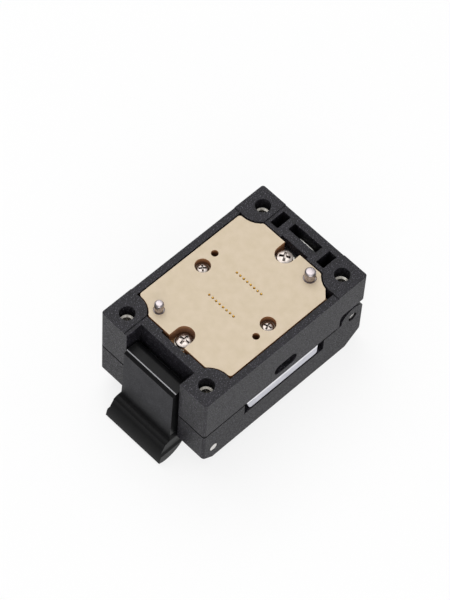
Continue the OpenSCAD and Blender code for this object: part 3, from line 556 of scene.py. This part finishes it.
def makeEndScrews():
    # the two end screws differ in length and head, and so do the washers under them
    end = dict(head=4.6, highs=(1.2, 1.4), shank=2.05, longs=(8.3, 9.4), drive=3.0, firstTurn=2)
    washers = dict(across=5.2, bore=2.65, highs=(0.3, 1.4), easeIn=0.05, easeOut=0.08)
    low, high = boxMm("end_screws")
    washerLow = boxMm("end_washers")[0]
    r0, r1 = washers["bore"] / 2, washers["across"] / 2
    easeIn, easeOut = washers["easeIn"], washers["easeOut"]
    grids, rings = [], []
    for i, x in enumerate((low[0] + end["head"] / 2, high[0] - end["head"] / 2)):
        h = washers["highs"][i]
        grid = crossHead(end["head"], end["highs"][i], end["shank"], end["longs"][i], end["drive"])
        grid = turnGrid(grid, screwTurns[end["firstTurn"] + i])
        grids.append(placed(grid, x, 0, washerLow[2] + h))
        ring = turned([(r0, easeIn), (r0 + easeIn, 0), (r1 - easeOut, 0), (r1, easeOut),
                       (r1, h - easeOut), (r1 - easeOut, h), (r0 + easeIn, h), (r0, h - easeIn),
                       (r0, easeIn)])
        rings.append(placed(ring, x, 0, washerLow[2]))
    finishPiece("endScrews", "end_screws", meshFromGrids("endScrews", grids), smoothAngle=28)
    finishPiece("endWashers", "end_washers", meshFromGrids("endWashers", rings), smoothAngle=28)


def makeDowels():
    # two pins of different size, each wider below the retainer plate's face, by the shoulder
    dowels = dict(
        acrossXY=((3.0, 17.6, -9.45), (2.5, -17.5, 9.95)), shoulder=0.2, step=-0.45, ease=0.06,
        chamfer=0.3, sides=64,
        nose=((0, 0.42), (0.04, 0.34), (0.36, 0.02), (0.42, 0)))  # in and down from the top's rim
    low, high = boxMm("board_dowels")
    step, ease, chamfer = dowels["step"], dowels["ease"], dowels["chamfer"]
    grids = []
    for across, x, y in dowels["acrossXY"]:
        r = across / 2
        wide = r + dowels["shoulder"]
        profile = [(0, low[2]), (wide - chamfer, low[2]), (wide, low[2] + chamfer),
                   (wide, step - ease), (wide - ease, step), (r, step)]
        profile += [(r - inwards, high[2] - down) for inwards, down in dowels["nose"]]
        grids.append(placed(turned(profile + [(0, high[2])], dowels["sides"]), x, y))
    mesh = meshFromGrids("boardDowels", grids)
    finishPiece("boardDowels", "board_dowels", mesh, smoothAngle=30)


def makeInserts():
    # the thread's wall is r + depth * |tooth|, its tooth running round and up:
    # t = z / pitch - a / 2 pi, tooth = 2 (t mod 1) - 1
    insert = dict(across=4.3, bore=2.5, threadPitch=0.5, threadDeep=0.22, countersink=0.24,
                  throat=0.24, ease=0.1, rim=0.08, lip=0.05, rows=90, sides=48)
    low, high = boxMm("thread_inserts")
    length = high[2] - low[2]
    r0, r1 = insert["bore"] / 2, insert["across"] / 2
    ease, rim, lip, sides = (insert[key] for key in ("ease", "rim", "lip", "sides"))
    mouth = length - insert["countersink"]
    z = np.linspace(mouth - 3 * lip, lip, insert["rows"])
    outer = [(r0 + ease, 0), (r1 - ease, 0), (r1, ease), (r1, length - rim), (r1 - rim, length),
             (r0 + insert["throat"], mouth), (r0 + insert["threadDeep"], mouth - lip)]
    profile = np.concatenate([outer, np.stack([np.full_like(z, r0), z], -1), [[r0 + ease, 0]]])
    grid = turned(profile, sides)
    a = np.linspace(0, 2 * pi, sides, endpoint=False)[None, :]
    t = (profile[:, 1:] / insert["threadPitch"] - a / (2 * pi)) % 1
    tooth = abs(2 * t - 1) * insert["threadDeep"]
    row = np.arange(len(profile))
    threaded = (row >= len(outer)) & (row < len(profile) - 1)
    widened = 1 + threaded[:, None] * tooth / r0
    grid[..., 0] *= widened
    grid[..., 1] *= widened
    grids = [placed(grid, x, y, low[2])
             for x, y in cornerSpots("thread_inserts", insert["across"])]
    mesh = meshFromGrids("threadInserts", grids)
    finishPiece("threadInserts", "thread_inserts", mesh, smoothAngle=30)


def slab(low, high, ease, steps=6):
    # a block with rounded edges: the outline in XZ is corner + ease (cos a, sin a), and it shrinks
    # by ease at both ends
    turnIn = 0.3  # how far in the outline lies halfway round the end's edge
    low, high = np.array(low, float), np.array(high, float)
    a = np.linspace(0, pi / 2, steps) + (np.arange(4) * pi / 2)[:, None]
    signs = np.array([(1, 1), (-1, 1), (-1, -1), (1, -1)])
    middle, half = (low + high) / 2, (high - low) / 2
    flat = half[[0, 2]] - ease
    corners = ease * np.stack([np.cos(a), np.sin(a)], -1)
    outline = (signs[:, None] * flat + corners).reshape(-1, 2)
    core = (signs[:, None] * flat + 0 * a[..., None]).reshape(-1, 2)
    rows = [(0 * core, -half[1]), (core, -half[1]),
            (turnIn * core + (1 - turnIn) * outline, turnIn * ease - half[1]),
            (outline, ease - half[1])]
    rows += [(ring, -y) for ring, y in rows[::-1]]
    grid = np.stack([np.stack([ring[:, 0], y + 0 * ring[:, 0], ring[:, 1]], -1)
                     for ring, y in rows])
    return (grid + middle) * mm


def makePressurePlate():
    # its long faces lie flush with the housing, and a thin strip along the top edge stands a
    # little prouder
    plate = dict(edge=0.15, face=19.08, movedBeyond=18.5, stripMiddle=18.9, stripHalf=0.3,
                 stripStart=2.55, stripHigh=0.95, stripEase=0.12)
    low, high = boxMm("pressure_plate")
    piece = roundedCopy("pressure_plate", "pressurePlate", plate["edge"])
    points = np.empty(len(piece.data.vertices) * 3)
    piece.data.vertices.foreach_get("co", points)
    y = points.reshape(-1, 3)[:, 1]
    outside = abs(y) > plate["movedBeyond"] * mm
    y[:] = np.where(outside, np.sign(y) * plate["face"] * mm, y)
    piece.data.vertices.foreach_set("co", points)
    middle, half = plate["stripMiddle"], plate["stripHalf"]
    strips = [slab((low[0] + plate["stripStart"], side * middle - half,
                    high[2] - plate["stripHigh"]),
                   (high[0], side * middle + half, high[2]), plate["stripEase"])
              for side in (1, -1)]
    mesh = meshFromGrids("pressurePlateStrips", strips)
    finishPiece("pressurePlateStrips", "pressure_plate", mesh, smoothAngle=30)


def makeProbeTips():
    # plungers of the sprung probes, with a blunt nose that narrows in steps
    probe = dict(  # the nose's points are measured in from the wall and down from the tip
        across=0.5, rowCount=8, sides=20,
        nose=((0, 0.2), (0.05, 0.12), (0.13, 0.02), (0.19, 0), (0.25, 0)))
    r = probe["across"] / 2
    for node, name, lookDown in (("board_plungers", "boardTips", False),
                                 ("package_plungers", "packageTips", True)):
        low, high = boxMm(node)
        long = high[2] - low[2]
        profile = [(0, 0), (r, 0)] + [
            (r - inwards, long - down) for inwards, down in probe["nose"]]
        grid = turned(profile, probe["sides"])
        ys = np.linspace(low[1] + r, high[1] - r, probe["rowCount"])
        grids = [placed(grid, x, y, (high if lookDown else low)[2], lookDown)
                 for x in (low[0] + r, high[0] - r) for y in ys]
        finishPiece(name, node, meshFromGrids(name, grids), smoothAngle=30)


def makeProbeSprings():
    # each spring is two coils that meet in its middle, the upper pressed by the board's tip and the
    # lower by the other: centre line (R cos 2 pi u, R sin 2 pi u, z), z rising evenly with u
    spring = dict(across=0.5, wire=0.09, turns=7, travel=0.31, rowCount=8, stepsATurn=12, sides=6)
    low, high = boxMm("probe_springs")
    r, wire, turns = spring["across"] / 2, spring["wire"], spring["turns"]
    middle = (low[2] + high[2]) / 2
    long = high[2] - middle
    u = np.linspace(0, turns, turns * spring["stepsATurn"])
    z = wire / 2 + (long - wire) * u / turns
    centre = r - wire / 2
    line = np.stack([centre * np.cos(2 * pi * u), centre * np.sin(2 * pi * u), z], -1)
    grid = drawnWire(line, wire / 2, spring["sides"])
    ys = np.linspace(low[1] + r, high[1] - r, spring["rowCount"])
    spots = [(x, y) for x in (low[0] + r, high[0] - r) for y in ys]
    for name, joint, start in (("boardProbeSprings", "board_tip_travel", middle),
                               ("packageProbeSprings", "package_tip_travel", low[2])):
        mesh = meshFromGrids(name, [placed(grid, x, y, start) for x, y in spots])
        piece = finishPiece(name, "probe_springs", mesh, smoothAngle=60)
        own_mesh(piece)


def makePins():
    # plain pins with eased ends
    ends = dict(ease=0.22, bend=0.3)
    for node, name in (("hinge_pin", "hingePin"), ("latch_pin", "latchPin")):
        low, high = boxMm(node)
        r = (high[0] - low[0]) / 2
        ease, bend = ends["ease"], ends["ease"] * ends["bend"]
        profile = [(0, low[1]), (r - ease, low[1]), (r - bend, low[1] + bend), (r, low[1] + ease),
                   (r, high[1] - ease), (r - bend, high[1] - bend), (r - ease, high[1]),
                   (0, high[1])]
        grid = turnedAlongY(profile, (low[0] + high[0]) / 2, (low[2] + high[2]) / 2)
        finishPiece(name, node, meshFromGrids(name, [grid]), smoothAngle=30)


def makePushSprings():
    # centre line (R cos 2 pi u, R sin 2 pi u, z), climbing between a closed turn at each end
    springs = {
        "guide_springs": dict(name="guideSprings", across=3.0, wire=0.4, turns=4,
                              joint="guide_float", keep=0.91, heldAt="top"),
        "pressure_springs": dict(name="pressureSprings", across=3.8, wire=0.55, turns=5,
                                 joint="pressure_float", keep=0.93, heldAt="bottom"),
    }
    # in all of them, closed turns at each end, the share of the rise that is even, and fineness
    shared = dict(closed=0.75, creep=0.06, stepsATurn=32, sides=10)
    closed, creep = shared["closed"], shared["creep"]
    for node, spring in springs.items():
        low, high = boxMm(node)
        wire, turns, name = spring["wire"], spring["turns"], spring["name"]
        u = np.linspace(0, turns, turns * shared["stepsATurn"])
        rise = np.clip((u - closed) / (turns - 2 * closed), 0, 1)
        centre = (spring["across"] - wire) / 2
        span = high[2] - low[2] - wire
        z = wire / 2 + span * (creep * u / turns + (1 - creep) * rise)
        line = np.stack([centre * np.cos(2 * pi * u), centre * np.sin(2 * pi * u), z], -1)
        grid = drawnWire(line, wire / 2, shared["sides"])
        grids = [placed(grid, x, y, low[2]) for x, y in cornerSpots(node, spring["across"])]
        piece = finishPiece(name, node, meshFromGrids(name, grids), smoothAngle=60)
        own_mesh(piece)


def smoothed(path, times=2):
    # corners cut off: every stretch gives way to the points at its first and last quarter
    path = np.array(path, float)
    for _ in range(times):
        near, far = path[:-1] * 0.75 + path[1:] * 0.25, path[:-1] * 0.25 + path[1:] * 0.75
        path = np.concatenate([path[:1], np.stack([near, far], 1).reshape(-1, 3), path[-1:]])
    return path


def coilAboutY(r, degrees, y):
    # (r cos a, y, r sin a) while the angle and y run between their ends
    stepsATurn, extra = 28, 12
    wholeTurns = int(abs(degrees[1] - degrees[0]) / 360)
    a = np.radians(np.linspace(*degrees, stepsATurn * max(1, wholeTurns) + extra))
    return np.stack([r * np.cos(a), np.linspace(*y, len(a)), r * np.sin(a)], -1)


def makeHingeSpring():
    # a double torsion spring: two coils on the hinge line, a bridge that stands against the base,
    # and two legs on the lid, whose arcs slide in the coils' first turns while the lid opens
    spring = dict(
        wire=0.8, legWire=0.78, sides=14, r=2.0, outer=7.0, inner=3.4, hinge=(25.0, 0, -15.8),
        start=-90, full=3 * 360 + 120, windUp=95, overlap=2,
        bridge=((1.3, 3.1, 2.6), (1.3, 2.9, 10.8), (1.3, 2.5, 11.3)),
        leg=((-4, 7, -4.2), (-2, 7, -3.1)))
    outer, inner, start = spring["outer"], spring["inner"], spring["start"]
    full, windUp = spring["full"], spring["windUp"]
    yJoin = outer + (inner - outer) * windUp / full
    halves, legs = [], []
    for side in (1, -1):
        mirror = (1, side, 1)
        coil = coilAboutY(spring["r"], (windUp + start, full + start), (side * yJoin, side * inner))
        halves.append(np.concatenate([coil, np.array(spring["bridge"]) * mirror]))
        arc = coilAboutY(spring["r"], (start, windUp + start + spring["overlap"]),
                         (side * outer, side * yJoin))
        leg = np.concatenate([np.array(spring["leg"]) * mirror, arc])
        legs.append(smoothed(leg) + spring["hinge"])
    path = smoothed(np.concatenate([halves[0], halves[1][::-1]])) + spring["hinge"]
    mesh = meshFromGrids("hingeSpring", [drawnWire(path, spring["wire"] / 2, spring["sides"])])
    finishPiece("hingeSpring", "hinge_spring", mesh, smoothAngle=60)
    mesh = meshFromGrids("hingeSpringLegs", [
        drawnWire(path, spring["legWire"] / 2, spring["sides"]) for path in legs])
    finishPiece("hingeSpringLegs", "hinge_spring", mesh, smoothAngle=60, body="lid")


def makeLatchSpring():
    # a torsion spring on the latch pin: its coils and one leg stay with the lid, the other leg
    # turns with the tab
    spring = dict(
        wire=0.6, legWire=0.58, sides=14, r=1.75, half=2.4, pin=(-25.2, 0, -24.4), start=180,
        turns=5.5, lidLeg=((2.0, -2.4, -2.0), (2.9, -2.4, -3.9)),
        tabLeg=((-1.95, 2.4, -3.9), (-1.85, 2.4, -2.0)), tabArc=20, tabLean=0.05)
    half, start = spring["half"], spring["start"]
    coil = coilAboutY(spring["r"], (start, start - 360 * spring["turns"]), (half, -half))
    path = smoothed(np.concatenate([coil, spring["lidLeg"]])) + spring["pin"]
    mesh = meshFromGrids("latchSpring", [drawnWire(path, spring["wire"] / 2, spring["sides"])])
    finishPiece("latchSpring", "latch_spring", mesh, smoothAngle=60)
    arc = coilAboutY(spring["r"], (start, start - spring["tabArc"]),
                     (half, half - spring["tabLean"]))
    path = smoothed(np.concatenate([spring["tabLeg"], arc])) + spring["pin"]
    mesh = meshFromGrids("latchSpringLeg", [
        drawnWire(path, spring["legWire"] / 2, spring["sides"])])
    finishPiece("latchSpringLeg", "latch_spring", mesh, smoothAngle=60, body="latch")


roundedPieces = {
    "base_frame": dict(name="baseFrame", edge=0.22),
    "lid_frame": dict(name="lidFrame", edge=0.22),
    "latch": dict(name="latchBody", edge=0.25),
    "retainer_plate": dict(name="retainerPlate", edge=0.3),
    "probe_block": dict(name="probeBlock", edge=0.12),
    "guide_plate": dict(name="guidePlate", edge=0.12),
    "pusher": dict(name="pusherBlock", edge=0.12),
}
for node, piece in roundedPieces.items():
    roundedCopy(node, piece["name"], piece["edge"])
print("moulded and machined pieces rounded")
makePressurePlate()
makeScrews()
makeEndScrews()
makeDowels()
makeInserts()
makeProbeTips()
makeProbeSprings()
makePins()
makePushSprings()
makeHingeSpring()
makeLatchSpring()
print("turned pieces, screws and springs made")


def isSeenDirectly(tree):
    # 1 for rays from the camera, mirrors and glass, which see the backdrop itself
    path = addNode(tree, "ShaderNodeLightPath")
    seen = path.outputs["Is Camera Ray"]
    for ray in ("Is Glossy Ray", "Is Transmission Ray"):
        seen = addNode(tree, "ShaderNodeMath", [seen, path.outputs[ray]], 0, operation="MAXIMUM")
    return seen


def makeFloor():
    # the socket lies on its latch tab and on the lid's edge at the hinge end
    stand = dict(size=3.0, paper=0.85, seenPaper=0.2, glow=0.80, soleWithin=0.01)
    tab = np.array([v.co for v in frame["nodes"]["latch"].data.vertices])
    lid = np.array([v.co for v in frame["nodes"]["lid_frame"].data.vertices])
    toe = tab[tab[:, 2].argmin()]
    sole = lid[lid[:, 2] < lid[:, 2].min() + stand["soleWithin"] * mm]
    heel = sole[sole[:, 0].argmax()]
    slope = (heel[2] - toe[2]) / (heel[0] - toe[0])
    half = stand["size"] / 2
    corners = [(x, y, toe[2] + slope * (x - toe[0]))
               for x, y in ((-half, -half), (half, -half), (half, half), (-half, half))]
    mesh = bpy.data.meshes.new("tableTop")
    mesh.from_pydata(corners, [], [(0, 1, 2, 3)])
    floor = bpy.data.objects.new("tableTop", mesh)
    bpy.context.scene.collection.objects.link(floor)
    material = bpy.data.materials.new("matt_white_paper")
    material.use_nodes = True
    tree = material.node_tree
    tree.nodes.clear()
    lit, dim = (addNode(tree, "ShaderNodeBsdfDiffuse", {"Color": (stand[key],) * 3 + (1,)}, 0)
                for key in ("paper", "seenPaper"))
    glow = addNode(tree, "ShaderNodeEmission", {"Strength": stand["glow"]}, 0)
    seen = addNode(tree, "ShaderNodeAddShader", [dim, glow], 0)
    both = addNode(tree, "ShaderNodeMixShader", [isSeenDirectly(tree), lit, seen], 0)
    addNode(tree, "ShaderNodeOutputMaterial", {"Surface": both})
    floor.data.materials.append(material)


def makeWorld():
    # a studio room, dim along its walls and bright overhead:
    # wall + (ceiling - wall) * smooth step of the ray's height
    room = dict(wall=0.12, ceiling=0.85, dimBelow=0.2, brightAbove=0.9)
    world = bpy.data.worlds.new("studioRoom")
    bpy.context.scene.world = world
    world.use_nodes = True
    tree = world.node_tree
    tree.nodes.clear()
    way = addNode(tree, "ShaderNodeTexCoord", out="Generated")
    height = addNode(tree, "ShaderNodeSeparateXYZ", [way], "Z")
    level = addNode(tree, "ShaderNodeMapRange", [
        height, room["dimBelow"], room["brightAbove"], room["wall"], room["ceiling"]], "Result",
        interpolation_type="SMOOTHSTEP")
    seen = addNode(tree, "ShaderNodeLightPath", out="Is Camera Ray")
    shown = addNode(tree, "ShaderNodeMapRange", [seen, 0.0, 1.0, level, 1.0], "Result")
    back = addNode(tree, "ShaderNodeBackground", {"Color": (1, 1, 1, 1), "Strength": shown}, 0)
    addNode(tree, "ShaderNodeOutputWorld", {"Surface": back})


def makeSoftboxes():
    # two rectangular lamps that look at the middle of the socket, in metres and watts
    softboxes = {
        "softboxAbove": dict(place=(0.15, 0.35, 0.75), size=(0.7, 0.7), power=2.6),
        "softboxFront": dict(place=(-0.5, -0.5, 0.3), size=(0.6, 0.5), power=1.7),
    }
    for name, softbox in softboxes.items():
        lamp = bpy.data.lights.new(name, "AREA")
        lamp.shape = "RECTANGLE"
        lamp.size, lamp.size_y = softbox["size"]
        lamp.energy = softbox["power"]
        box = bpy.data.objects.new(name, lamp)
        box.location = softbox["place"]
        box.rotation_euler = (-Vector(softbox["place"])).to_track_quat("-Z", "Y").to_euler()
        bpy.context.scene.collection.objects.link(box)


def makeCamera():
    # millimetres and degrees; the camera looks along -back, turned about that line by the roll
    view = dict(target=(3.75, 6.81, -15.0), distance=795.5, azimuth=-47.674, elevation=57.824,
                roll=4.103, lens=182.47, sensor=36)
    a, e, r = (radians(view[key]) for key in ("azimuth", "elevation", "roll"))
    back = Vector((sin(a) * cos(e), -cos(a) * cos(e), sin(e)))
    level = Vector((cos(a), sin(a), 0))
    upright = back.cross(level)
    right = level * cos(r) + upright * sin(r)
    up = back.cross(right)
    camera = bpy.data.objects.new("camera", bpy.data.cameras.new("camera"))
    camera.data.lens = view["lens"]
    camera.data.sensor_width = view["sensor"]
    place = (Vector(view["target"]) + back * view["distance"]) * mm
    turn = Matrix((right, up, back)).transposed().to_4x4()
    camera.matrix_world = Matrix.Translation(place) @ turn
    bpy.context.scene.collection.objects.link(camera)
    bpy.context.scene.camera = camera


makeFloor()
makeWorld()
makeSoftboxes()
makeCamera()
bpy.context.scene.view_settings.view_transform = "Standard"
print("stage, lights and camera set")
